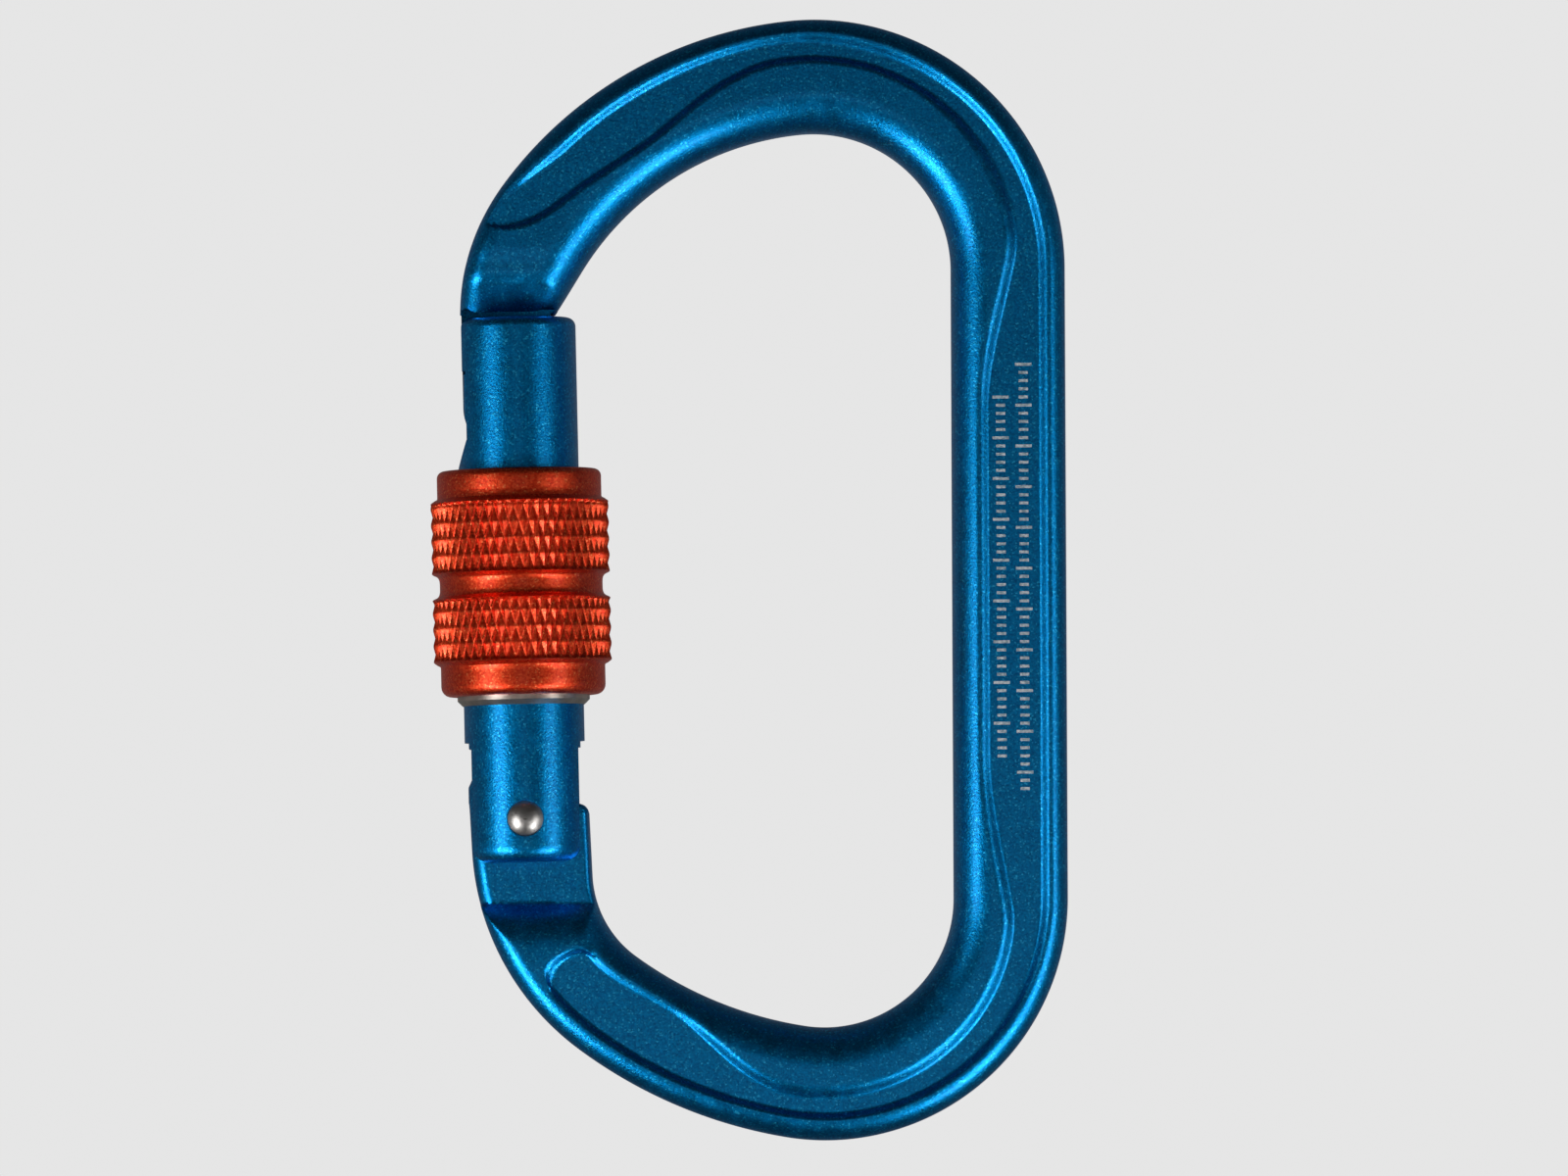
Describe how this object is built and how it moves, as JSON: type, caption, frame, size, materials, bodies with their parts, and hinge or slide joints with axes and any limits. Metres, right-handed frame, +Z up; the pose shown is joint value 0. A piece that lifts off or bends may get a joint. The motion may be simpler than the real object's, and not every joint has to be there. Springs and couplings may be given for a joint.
{
  "type": "locking carabiner",
  "caption": "D-shaped locking carabiner with a forged frame, a sprung hinged gate and a screw sleeve that locks it shut.",
  "frame": {"origin": "the highest point of the frame's inner edge in its middle plane, where a sling bears in the top bow", "axes": "+Z up along the spine, +X towards the spine, the gate on the -X side, +Y away from the front face; the bar's middle plane is XZ"},
  "size_m": [0.0624, 0.0174, 0.1101],
  "materials": {
    "frame": "bead-blasted and anodised blue",
    "gate": "bead-blasted and anodised blue",
    "sleeve": "satin anodised orange-red, knurled in two bands",
    "ring": "turned stainless steel",
    "rivet": "domed stainless steel",
    "spring": "drawn spring wire",
    "plunger": "turned steel"
  },
  "bodies": {
    "frame": {"frame": "frame"},
    "gate": {"gate": "gate", "gate_rivet": "rivet", "gate_spring": "spring"},
    "plunger": {"spring_plunger": "plunger"},
    "ring": {"sleeve_ring": "ring"},
    "sleeve": {"lock_sleeve": "sleeve"}
  },
  "joints": [
    {"name": "gate_hinge", "type": "hinge", "parent": "frame", "child": "gate", "pos_m": [-0.0284, 0, -0.06734], "axis": [0, 1, 0], "range_deg": [0, 27], "stiffness_Nm_per_rad": 0.57, "springref_deg": -25.21},
    {"name": "plunger_slide", "type": "slide", "parent": "gate", "child": "plunger", "axis": [-0.0183, 0, 0.9998], "range_m": [0, 0.0013], "deforming": ["gate_spring"]},
    {"name": "sleeve_rise", "type": "slide", "parent": "gate", "child": "ring", "axis": [-0.0183, 0, 0.9998], "range_m": [0, 0.01425]},
    {"name": "sleeve_spin", "type": "hinge", "parent": "ring", "child": "sleeve", "pos_m": [-0.0284, 0, -0.06734], "axis": [-0.0183, 0, 0.9998], "range_deg": [0, 1711]}
  ],
  "couplings": [
    {"joint": "plunger_slide", "follows": "gate_hinge", "m_per_rad": 0.0025},
    {"joint": "sleeve_spin", "follows": "sleeve_rise", "rad_per_m": 2094.4}
  ]
}
